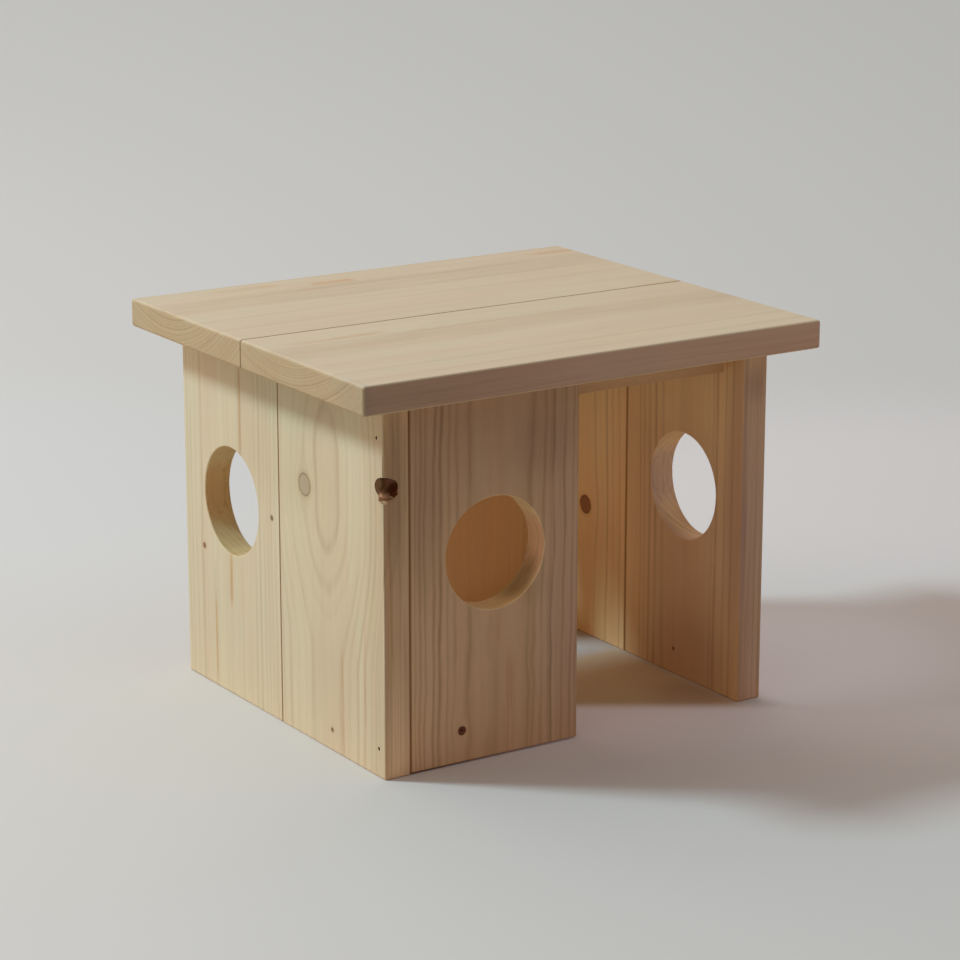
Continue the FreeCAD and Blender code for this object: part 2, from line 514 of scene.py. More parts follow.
@dataclass(frozen=True)
class Timber:
    """The wood of one board, which fills it like a solid block."""

    name: str
    grain: Axis
    across: Axis
    through: Axis
    face: float
    heart: Heart
    seed: float
    tone: SpruceTone = SpruceTone()
    years: tuple[DarkYear, ...] = ()
    knots: tuple[Knot, ...] = ()
    streaks: tuple[Streak, ...] = ()
    seams: tuple[Seam, ...] = ()
    bore: Union[Bore, None] = None
    # Soft patches over the wood, most of them painted light and painted shade.
    shades: tuple[Shade, ...] = ()
    inward: float = 1.0
    wander: float = 2.2
    ripple: float = 0.55

    def material(self) -> bpy.types.Material:
        """The board's material."""
        return TimberSurface(self).build()


class TimberSurface(Surface):
    """Writes one timber as shader nodes: the bent grain first, then one layer of wood over another."""

    SLOW = Speckle(60, 220, 1.0, 1.0)
    QUICK = Speckle(14, 44, 2.0)
    FADE = Speckle(7.0, 70.0, 8.0, shows=(0.28, 0.58))
    CLOUD = Speckle(36.0, 120.0, 7.0)
    PATCH = Speckle(2.0, 40.0, 9.0, shows=(0.30, 0.60))
    FIBRE = Speckle(0.85, 22.0, 4.0, 3.0, follows=True)
    BAND = Speckle(3.4, 130.0, 10.0, follows=True)
    DASH = Speckle(0.8, 7.0, 5.0, 1.0, follows=True, shows=(0.66, 0.76))
    DRIFT = Speckle(22.0, 240.0, 6.0, follows=True, shows=(0.36, 0.66))
    STRIPE = Speckle(1.5, 170.0, 12.0, 3.0, follows=True, shows=(0.50, 0.64))
    DRIFT_SHARE = 0.5
    BAND_SHARE = 0.11
    CLOUD_SHARE = 0.10
    DASH_SHARE = 0.05
    SAWN_WITHIN = (0.45, 0.95)
    EDGE_WITHIN = (0.75, 0.98)
    FAR_WITHIN = (0.6, 0.95)
    HEART_FADE = 2.0
    SPAN_FADE = 14.0
    KNOT_REACH = 1.05
    KNOT_RING = 1.3
    KNOT_GAP = 2.2
    FIBRE_RELIEF = 0.00005
    RELIEF_STRENGTH = 0.8
    SPECULAR = 0.32
    KNOT_STAIN: Colour = (0.74, 0.60, 0.44)
    EDGE_STRIPE: Colour = (0.66, 0.54, 0.44)
    SAWN_RING: Colour = (0.62, 0.49, 0.38)

    def __init__(self, timber: Timber) -> None:
        """Opens the material and finds how far across, along and from the heart each point lies.

        Args:
            timber: The wood to write.
        """
        super().__init__(timber.name)
        self.timber, heart = timber, timber.heart
        self.grain = self.point + self.push(self.speckle(self.SLOW), timber.wander * 2)
        self.grain = self.grain + self.push(self.speckle(self.QUICK), timber.ripple * 2)
        for knot in timber.knots:
            self.bend_round(knot)
        self.along = self.grain.dot(timber.grain.unit)
        self.across = self.grain.dot(timber.across.unit) - (self.along * heart.lean + heart.across)
        depth = (self.grain.dot(timber.through.unit) - timber.face) * timber.inward + heart.depth
        for bend in heart.bends:
            depth = depth + self.along.step(bend.start, bend.end) * bend.away
        self.radius = (self.across * self.across + depth * depth) ** 0.5
        drift = self.strength(self.DRIFT) * self.DRIFT_SHARE
        self.wood = self.mix(timber.tone.early, timber.tone.blush, drift)

    def speckle(self, kind: Speckle) -> bpy.types.Node:
        """Adds noise that is the timber's own.

        Args:
            kind: The kind of noise.

        Returns:
            The noise node.
        """
        seed, point = self.timber.seed, self.grain if kind.follows else self.point
        often = tuple(1.0 / (kind.length if axis is self.timber.grain else kind.side) for axis in Axis)
        offset = (seed * 7.31 + kind.layer * 3.7, seed * 2.17, kind.layer * 5.3)
        return self.noise(point.math("MULTIPLY_ADD", often, offset), kind.detail)

    def strength(self, kind: Speckle) -> Signal:
        """The same noise as a number, from 0 to 1 where it shows only in places."""
        level = self.level(self.speckle(kind))
        return level.step(*kind.shows) if kind.shows else level

    def bend_round(self, knot: Knot) -> None:
        """Makes the grain part and flow round a knot, as water does round a post.

        Args:
            knot: The knot.
        """
        sideways, along = knot.ways(self.timber.grain.unit)
        offset = self.grain - knot.at
        side = offset.dot(sideways)
        rise = offset.dot(along) * 0.55
        reach = (knot.radius * self.KNOT_REACH) ** 2
        pull = ((side * side + rise * rise).math("MAXIMUM", reach) ** -1.0) * -reach
        self.grain = self.grain + self.vector(*sideways).scaled(side * pull)

    def late_wood(self) -> tuple[Signal, Signal]:
        """How dark a point is by its place in its year's ring.

        Returns:
            The darkness on planed faces and on sawn ends, each from 0 to 1.
        """
        ring, seed = self.timber.heart.ring, self.timber.seed
        uneven = self.level(self.noise(self.radius / (ring * 4.0) + (seed * 11.9 + 3.0), 1.0)) * 2.4
        years = self.radius / ring + uneven
        share = years.math("FRACT")
        summer = share.step(0.22, 0.86) ** 1.4 * share.step(1.0, 0.88)
        number = self.add("ShaderNodeTexWhiteNoise", {"W": years.math("FLOOR") + seed}, noise_dimensions="1D")
        each = Signal(self.tree, number.outputs["Value"])
        return summer * (each * each + 0.12), summer * (each * 0.6 + 0.4)

    def dark_years(self, fade: Signal) -> Signal:
        """How dark a point is by the rings that stand out.

        Args:
            fade: Uneven noise by which the rings come and go.

        Returns:
            The darkness from 0 to 1.
        """
        total = fade * 0.0
        for year in self.timber.years:
            off = (self.radius - self.timber.heart.radius(year.offset, year.height)) / year.width
            line = off.step(-1.4, 0.1) ** 1.3 * off.step(0.95, 0.0) * year.strength
            if year.side is not Side.BOTH:
                turn = self.HEART_FADE * year.side.value
                line = line * self.across.step(-turn, turn)
            for end, rise in ((year.low, self.SPAN_FADE), (year.high, -self.SPAN_FADE)):
                line = line if end is None else line * self.along.step(end - rise, end + rise)
            total = total.math("MAXIMUM", line)
        return total * fade

    def lay(self, colour: object, share: object, mode: str = "MULTIPLY") -> None:
        """Lays one more colour over the wood, as mix does."""
        self.wood = self.mix(self.wood, colour, share, mode)

    def lay_knot(self, knot: Knot) -> Signal:
        """Paints a knot and the stain round it.

        Args:
            knot: The knot.

        Returns:
            How deep the gap round the knot is, from 0 to 1.
        """
        sideways, along = knot.ways(self.timber.grain.unit)
        rough = self.push(self.speckle(Speckle(2.6, 3.4, knot.radius)), min(1.2, knot.radius * 0.4))
        offset = self.point + rough - knot.at
        side, rise = offset.dot(sideways), offset.dot(along)
        distance = (side * side + rise * rise) ** 0.5 / knot.radius
        rim, stain = knot.kind.value
        inside = distance.step(1.10, 0.92)
        ring = distance.step(0.78, 0.95) * distance.step(1.12, 1.0)
        rings = (distance * (knot.radius / self.KNOT_RING)).math("FRACT").step(0.3, 1.0)
        self.lay(self.KNOT_STAIN, distance.step(stain, 1.0) * 0.30)
        body = self.mix(self.mix(knot.heart, knot.rim, rings * 0.22), knot.rim, ring * rim)
        self.lay(body, inside, "MIX")
        return ring * inside

    def lay_streak(self, streak: Streak) -> None:
        """Stains the wood along one line.

        Args:
            streak: The stain.
        """
        offset = self.grain - streak.at
        side = offset.dot(self.timber.across.unit).math("ABSOLUTE") / streak.width
        run = offset.dot(self.timber.grain.unit).math("ABSOLUTE") / (streak.length / 2)
        share = side.step(1.0, 0.1) * run.step(1.0, 0.55) * self.strength(self.PATCH)
        self.lay(streak.colour, share * streak.strength)

    def bored(self, bore: Bore) -> Signal:
        """How far a point belongs to the wall of the board's window, from 0 to 1."""
        flat = Vector((1.0, 1.0, 1.0)) - bore.axis.unit
        return ((self.point - bore.centre) * flat).length().step(bore.radius + 0.7, bore.radius + 0.2)

    def build(self) -> bpy.types.Material:
        """Joins rings, fibres, stains and knots to one finish of bare planed wood, with painted light and
        painted shade laid over some faces and patches.

        Returns:
            The material.
        """
        timber, tone = self.timber, self.timber.tone
        late, late_sawn = self.late_wood()
        fade = self.strength(self.FADE) * 0.6 + 0.4
        # Most shades are painted light and painted shade; a few are the wood's own tint.
        layers = [(patch.colour, patch.share(self.point)) for patch in timber.shades]
        if timber.bore is not None:
            bored = self.bored(timber.bore)
            # The bore's wall gets its tint of painted light.
            layers.insert(0, (timber.bore.fresh, bored))
            fade = fade * (bored * -0.6 + 1.0)
            late_sawn = late_sawn * (bored * -0.4 + 1.0)
        dark = self.dark_years(fade)
        fibre = self.strength(self.FIBRE)
        dash = self.strength(self.DASH)
        self.lay(tone.late, late * tone.lines, "MIX")
        self.lay(tone.late, dark * tone.dark_lines, "MIX")
        for streak in timber.streaks:
            self.lay_streak(streak)
        shade = fibre * tone.fibre + self.strength(self.BAND) * self.BAND_SHARE
        shade = shade + self.strength(self.CLOUD) * self.CLOUD_SHARE - dash * self.DASH_SHARE
        average = (tone.fibre + self.BAND_SHARE + self.CLOUD_SHARE) / 2
        self.wood = planed = self.wood.scaled(shade + (1.0 - average))
        self.lay(tone.sawn, 1.0)
        self.lay(self.SAWN_RING, late_sawn * tone.sawn_lines)
        sawn = self.normal.dot(timber.grain.unit).math("ABSOLUTE").step(*self.SAWN_WITHIN)
        self.wood = self.mix(planed, self.wood, sawn)
        edge = self.normal.dot(timber.across.unit).math("ABSOLUTE").step(*self.EDGE_WITHIN)
        stripe = self.strength(self.STRIPE) * edge
        far_side = (self.normal.dot(timber.through.unit) * timber.inward).step(*self.FAR_WITHIN)
        # Painted shade on the edges, real stripes along them, painted light and shade on the far side, then
        # the bore and the patches.
        for colour, share in ((tone.edge, edge), (self.EDGE_STRIPE, stripe * tone.edge_lines),
                              (tone.far_side, far_side), *layers):
            self.lay(colour, share)
        height = fibre * 0.55 + late * 0.3 + dark * 0.4 - dash * 0.3
        for knot in timber.knots:
            height = height - self.lay_knot(knot) * self.KNOT_GAP
        # Painted shade and dust darken the groove of each seam, less on sawn ends.
        for seam in timber.seams:
            gap = (self.point.dot(seam.axis.unit) - seam.place).math("ABSOLUTE")
            self.lay(seam.colour, gap.step(seam.reach, seam.reach * 0.3) * (sawn * -0.8 + 1.0))
        return self.finished({
            "Base Color": self.wood, "Roughness": dark * -0.10 + 0.66, "Specular IOR Level": self.SPECULAR,
            "Normal": self.relief(height, self.FIBRE_RELIEF, self.RELIEF_STRENGTH)})


@dataclass(frozen=True)
class BranchWood:
    """The hard dark wood of a dead branch, with rings about its own middle line and bark at its rim."""

    name: str
    middle: Triple
    towards: Triple
    radius: float
    flat: float = 1.6
    ring: float = 0.9
    heart: Colour = paint(122, 84, 52)
    dark: Colour = paint(94, 60, 37)
    bark: Colour = paint(74, 47, 27)
    stains: tuple[Shade, ...] = ()
    specular: float = 0.12
    depth: float = 0.00025

    def material(self) -> bpy.types.Material:
        """Builds the finish.

        Returns:
            The material.
        """
        surface = Surface(self.name)
        spots = surface.noise(surface.point.scaled(0.42), 3.0)
        offset = (surface.point + surface.push(spots, 2.2) - self.middle) * (1.0, 1.0, self.flat)
        distance = offset.math("CROSS_PRODUCT", Vector(self.towards).normalized()).length()
        rings = (distance / self.ring).math("FRACT").step(0.25, 0.95)
        patch = surface.level(spots)
        wood = surface.mix(self.heart, self.dark, rings * 0.35 + patch.step(0.46, 0.62) * 0.55)
        wood = surface.mix(wood, self.bark, (distance / self.radius).step(0.72, 1.02))
        for stain in self.stains:
            wood = surface.mix(wood, stain.colour, stain.share(surface.point + surface.push(spots, 1.4)))
        return surface.finished({
            "Base Color": wood, "Roughness": patch * 0.3 + 0.55, "Specular IOR Level": self.specular,
            "Normal": surface.relief(patch * 1.4 - rings * 0.4, self.depth)})


@dataclass(frozen=True)
class MetalFinish:
    """Drawn or plated metal of a fastener, with patches of two tones and fine scratches."""

    name: str
    bright: Colour
    dull: Colour
    roughness: float
    metallic: float
    grain: float
    depth: float = 0.00002

    def material(self) -> bpy.types.Material:
        """Builds the finish.

        Returns:
            The material.
        """
        surface = Surface(self.name)
        patch = surface.level(surface.noise(surface.place.scaled(MILLIMETRES / self.grain), 4.0))
        return surface.finished({
            "Base Color": surface.mix(self.bright, self.dull, patch.step(0.40, 0.62)),
            "Roughness": patch * 0.3 + (self.roughness - 0.15), "Metallic": self.metallic,
            "Normal": surface.relief(patch, self.depth)})


NAIL_STEEL = MetalFinish("nail_steel", paint(74, 68, 62), paint(38, 33, 30), 0.55, 0.7, 0.6)
SCREW_ZINC = MetalFinish("screw_zinc", paint(196, 200, 202), paint(158, 162, 160), 0.38, 1.0, 0.8)
BARK = BranchWood("bark_lining", (-140.0, -124.9, 180.3), (1.0, 1.02, 0.0), 4.0, bark=paint(104, 54, 22))


# ---- boards and fasteners


class Body(Enum):
    """The parts of the house that move as one."""

    HOUSE = "house"
    ROOF = "roof"


class Slot(Enum):
    """The record's names for the materials of the pieces made here."""

    WALL = "wall_wood"
    SCREWS = "screw_zinc"


def belongs(piece: bpy.types.Object, body: Body, node: Union[str, None] = None) -> None:
    """Hangs a piece that is made here on the empty of its body, and hides the CAD node that it stands for.

    Args:
        piece: The piece.
        body: The body that it moves with.
        node: The CAD node that it stands for, if any.
    """
    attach(piece, body.value)
    if node is not None:
        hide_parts(node)
    LOG.info("%s: %d faces", piece.name, len(piece.data.polygons))


def dress(node: str, material: bpy.types.Material) -> None:
    """Gives every material slot of a CAD node one material.

    Args:
        node: The node's name.
        material: The material.
    """
    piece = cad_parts[node]
    if not piece.material_slots:
        piece.data.materials.append(material)
    for place in piece.material_slots:
        place.material = material
    LOG.info("%s wears %s", node, material.name)


@dataclass(frozen=True)
class Lump:
    """An uneven round shape, with its half sizes along its own direction, sideways and upright.

    Where it is cut out of a board, the hollow shows bark or else the board's own wood.
    """

    centre: Triple
    towards: Triple
    halves: Triple
    rough: float
    seed: float
    bark: bool = False

    def shape(self) -> bmesh.types.BMesh:
        """Builds the shape.

        Returns:
            A closed mesh in metres, its place in its points.
        """
        made = bmesh.new()
        bmesh.ops.create_icosphere(made, subdivisions=4, radius=1.0)
        along = Vector(self.towards).normalized()
        aside = Vector((0.0, 0.0, 1.0)).cross(along).normalized()
        upright = along.cross(aside)
        for point in made.verts:
            way = point.co.copy()
            swell = 1.0 + self.rough * noise.noise(way * 1.7 + Vector((self.seed, 0.0, 0.0)))
            swell += self.rough * 0.5 * noise.noise(way * 4.1 + Vector((0.0, self.seed, 0.0)))
            spread = along * way.x * self.halves[0] + aside * way.y * self.halves[1]
            spread += upright * way.z * self.halves[2]
            point.co = (Vector(self.centre) + spread * swell) / MILLIMETRES
        for face in made.faces:
            face.smooth = True
            face.material_index = int(self.bark)
        return made


def as_mesh(name: str, shape: bmesh.types.BMesh) -> bpy.types.Mesh:
    """Turns an open shape to a mesh, and closes it.

    Args:
        name: The mesh's name.
        shape: The open shape.

    Returns:
        The mesh.
    """
    mesh = bpy.data.meshes.new(name)
    shape.to_mesh(mesh)
    shape.free()
    return mesh


@dataclass(frozen=True)
class CarvedBoard:
    """A board with wood broken out of it, which stands for its CAD node."""

    node: str
    timber: Timber
    hollows: tuple[Lump, ...]
    same_place: float = 1e-6
    same_plane: float = 0.4
    flat: float = 0.9999

    def whole_mesh(self) -> bpy.types.Mesh:
        """Copies the CAD node and joins its triangles to whole faces.

        Returns:
            The mesh, with its flat faces flat and its rounded arrises smooth.
        """
        shape = bmesh.new()
        shape.from_mesh(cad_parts[self.node].data)
        bmesh.ops.remove_doubles(shape, verts=shape.verts, dist=self.same_place)
        bmesh.ops.dissolve_limit(shape, angle_limit=radians(self.same_plane), verts=shape.verts,
                                 edges=shape.edges)
        shape.normal_update()
        for face in shape.faces:
            face.smooth = max(abs(part) for part in face.normal) < self.flat
        return as_mesh(f"{self.node}_board", shape)

    def carve(self, piece: bpy.types.Object, hollow: Lump) -> None:
        """Breaks wood out of the board, which gets a new mesh.

        Args:
            piece: The board.
            hollow: What is broken out.
        """
        tool = placed("hollow", as_mesh("hollow", hollow.shape()))
        for material in piece.data.materials:
            tool.data.materials.append(material)
        cut = piece.modifiers.new("hollow", "BOOLEAN")
        cut.operation, cut.solver, cut.object = "DIFFERENCE", "EXACT", tool
        carved = evaluated(piece)
        piece.modifiers.remove(cut)
        piece.data = carved
        bpy.data.objects.remove(tool)

    def build(self) -> None:
        """Makes the board, carves it and lets it stand for its CAD node."""
        piece = placed(f"{self.node}_board", self.whole_mesh())
        piece.data.materials.clear()
        for finish in (self.timber, BARK):
            piece.data.materials.append(finish.material())
        for hollow in self.hollows:
            self.carve(piece, hollow)
        belongs(piece, Body.HOUSE, self.node)


@dataclass(frozen=True)
class ScrewSizes:
    """The sizes and places of the screws of one batten, each an input of the nodes that make them."""

    across: float
    head_radius: float = 3.0
    shank_radius: float = 1.5
    length: float = 28.0
    point: float = 4.0
    plain_shank: float = 12.0
    pitch: float = 1.5
    thread: float = 0.38
    recess_span: float = 3.2
    recess_width: float = 0.9
    recess_depth: float = 1.2
    inner: float = 24.0
    outer: float = 61.2
    face: float = 214.3


class ScrewSheet(Sheet):
    """Geometry Nodes that make one batten's countersunk screws, with a helical thread and a cross recess."""

    AROUND = 32
    RINGS = 84
    SEED = 7
    BLUNT = 0.2

    def __init__(self, sizes: ScrewSizes) -> None:
        """Opens the tree with its output and an input for each size.

        Args:
            sizes: The sizes.
        """
        super().__init__(bpy.data.node_groups.new("countersunk_screws", "GeometryNodeTree"))
        make = self.tree.interface.new_socket
        make(name="screws", in_out="OUTPUT", socket_type="NodeSocketGeometry")
        self.values = {make(name=name, in_out="INPUT", socket_type="NodeSocketFloat").identifier:
                       size / MILLIMETRES for name, size in asdict(sizes).items()}
        given = self.add("NodeGroupInput").outputs
        self.size = {name: Signal(self.tree, given[name]) for name in asdict(sizes)}

    def blank(self) -> bpy.types.NodeSocket:
        """Turns a rod to a screw: its radius at each height is the head's cone, the shank or the point.

        Returns:
            The screw without its recess, its face at the origin and its point upwards.
        """
        size = self.size
        rod = self.add("GeometryNodeMeshCylinder", {"Vertices": self.AROUND, "Side Segments": self.RINGS,
                                                    "Radius": 1.0, "Depth": size["length"]})
        across, away, height = self.parts(self.add("GeometryNodeInputPosition").outputs[0])
        height = height + size["length"] * 0.5
        taper = ((size["length"] - height) / size["point"]).held(self.BLUNT, 1.0)
        turns = away.math("ARCTAN2", across) / tau + height / size["pitch"]
        groove = (turns.math("FRACT") - 0.5).math("ABSOLUTE") * 2.0
        threaded = ((height - size["plain_shank"]) * MILLIMETRES).held(0.0, 1.0)
        shank = size["shank_radius"] - size["thread"] * groove * threaded
        radius = (shank * taper).math("MAXIMUM", size["head_radius"] - height)
        return self.add("GeometryNodeSetPosition", {
            "Geometry": rod.outputs["Mesh"],
            "Position": self.vector(across * radius, away * radius, height)}).outputs[0]

    def recessed(self, blank: bpy.types.NodeSocket) -> bpy.types.NodeSocket:
        """Cuts the cross out of the head of a screw.

        Args:
            blank: The screw without it.

        Returns:
            The whole screw.
        """
        cut = self.add("GeometryNodeMeshBoolean", {"Self Intersection": True, 0: blank},
                       operation="DIFFERENCE", solver="EXACT")
        span, width = self.size["recess_span"], self.size["recess_width"]
        for sides in ((span, width), (width, span)):
            bar = self.vector(*sides, self.size["recess_depth"] * 2.0)
            feed(cut.inputs[1], self.add("GeometryNodeMeshCube", {"Size": bar}).outputs["Mesh"])
        return cut.outputs[0]

    def places(self) -> bpy.types.NodeSocket:
        """Lays out two pairs of points, each with one point on either side of the roof's seam.

        Returns:
            The places of the four screws.
        """
        joined = self.add("GeometryNodeJoinGeometry")
        for away in (self.size["inner"], self.size["outer"]):
            start = self.vector(self.size["across"], away * -1.0, self.size["face"])
            step = self.vector(0.0, away * 2.0, 0.0)
            pair = self.add("GeometryNodeMeshLine", {"Count": 2, "Start Location": start, "Offset": step},
                            mode="OFFSET")
            feed(joined.inputs[0], pair.outputs["Mesh"])
        return joined.outputs[0]

    def build(self, finish: bpy.types.Material) -> None:
        """Puts a screw at each point, each turned a little differently.

        Args:
            finish: The material of the screws.
        """
        screws = self.add("GeometryNodeInstanceOnPoints",
                          {"Points": self.places(), "Instance": self.recessed(self.blank())})
        turn = self.add("FunctionNodeRandomValue", {0: (0.0, 0.0, 0.0), 1: (0.0, 0.0, pi / 2),
                                                    "Seed": self.SEED}, data_type="FLOAT_VECTOR")
        feed(screws.inputs["Rotation"], turn.outputs[0])
        whole = self.add("GeometryNodeRealizeInstances", {0: screws.outputs[0]})
        dressed = self.add("GeometryNodeSetMaterial", {"Geometry": whole.outputs[0], "Material": finish})
        self.add("NodeGroupOutput", {0: dressed.outputs[0]})


@dataclass(frozen=True)
class BattenScrews:
    """The countersunk screws that hold one batten under the roof."""

    node: str
    sizes: ScrewSizes
    sharp: float = 30.0

    def build(self) -> None:
        """Makes the screws and lets them stand for their CAD node."""
        finish = SCREW_ZINC.material()
        sheet = ScrewSheet(self.sizes)
        sheet.build(finish)
        piece = placed(f"{self.node}_made", bpy.data.meshes.new(self.node))
        maker = piece.modifiers.new("screws", "NODES")
        maker.node_group = sheet.tree
        for identifier, size in sheet.values.items():
            maker[identifier] = size
        mesh = evaluated(piece)
        piece.modifiers.remove(maker)
        mesh.materials.clear()
        mesh.materials.append(finish)
        mesh.polygons.foreach_set("material_index", [0] * len(mesh.polygons))
        mesh.shade_smooth()
        mesh.set_sharp_from_angle(angle=radians(self.sharp))
        piece.data = mesh
        belongs(piece, Body.ROOF, self.node)


# ---- sub-assemblies


@dataclass
class CornerKnot:
    """A dead branch on the front left corner, planed flush with both faces and partly broken out."""

    corner: Triple = (-140.0, -124.9, 179.9)
    towards: Triple = (1.0, 1.02, 0.0)
    halves: Triple = (11.0, 9.4, 6.3)
    left: float = -140.0
    front: float = -124.0
    rough: float = 0.05
    seed: float = 3.0
    bark_from: float = 9.0
    sunk: float = 0.12
    worn: float = 2.4
    broken_at: Triple = (-132.6, 0.0, 178.2)
    broken_reach: float = 5.2
    broken_depth: float = 4.0
    same_place: float = 2e-6
    stains: tuple[Shade, ...] = (
        Shade((-140.5, -120.5, 181.0), (4.5, 8.0, 8.0), paint(90, 58, 27)),
        Shade((-134.8, -124.0, 184.4), (5.0, 8.0, 3.4), paint(124, 80, 60)),
        Shade((-131.8, -122.0, 178.4), (5.2, 8.0, 5.4), paint(100, 50, 25)),
        Shade((-138.6, -122.0, 174.5), (7.0, 5.0, 3.2), paint(196, 148, 114)),
    )

    def hollows(self) -> tuple[Lump, ...]:
        """Lists what is missing from the board.

        Returns:
            The socket of the branch, and the chips that broke off beside and under it.
        """
        halves = (self.halves[0] + 0.3, self.halves[1] + 0.05, self.halves[2] + 0.05)
        beside = (self.left + 6.4, self.front - 0.4, self.corner[2] - 3.5)
        under = (self.left + 2.0, self.front + 0.2, self.corner[2] - 5.9)
        return (Lump(self.corner, self.towards, halves, self.rough, self.seed, bark=True),
                Lump(beside, (0.2, 1.0, 0.0), (3.2, 3.4, 3.0), 0.25, 5.0, bark=True),
                Lump(under, self.towards, (3.4, 8.8, 3.1), 0.45, 8.0))

    def planed(self, place: Vector) -> Vector:
        """Moves a point of the branch back behind the board's faces and its worn corner.

        Args:
            place: The point of the whole branch.

        Returns:
            The point of the branch as it was planed, worn and broken.
        """
        left, front = self.left + self.sunk, self.front + self.sunk
        grain = noise.noise(place * 0.55) * 0.11
        gap = (Vector((place.x, 0.0, place.z)) - Vector(self.broken_at)).length
        broken = max(0.0, 1.0 - (gap / self.broken_reach) ** 2) * self.broken_depth
        place.x = max(place.x, left + grain)
        place.y = max(place.y, front + grain + broken * (1.0 + grain))
        wear = self.worn * (1.0 + noise.noise(place * 0.31) * 1.2) - (place.x - left) - (place.y - front)
        return place + Vector((0.5, 0.5, 0.0)) * max(0.0, wear)

    def build(self) -> None:
        """Builds the branch, which stays within the planed faces of the board."""
        shape = Lump(self.corner, self.towards, self.halves, self.rough, self.seed).shape()
        for point in shape.verts:
            point.co = self.planed(point.co * MILLIMETRES) / MILLIMETRES
        bmesh.ops.remove_doubles(shape, verts=shape.verts, dist=self.same_place)
        bmesh.ops.dissolve_degenerate(shape, edges=shape.edges, dist=self.same_place / 2)
        bmesh.ops.recalc_face_normals(shape, faces=shape.faces)
        piece = placed("corner_knot", as_mesh("corner_knot", shape))
        wood = BranchWood("dead_branch", self.corner, self.towards, self.bark_from, stains=self.stains)
        piece.data.materials.append(wood.material())
        belongs(piece, Body.HOUSE)


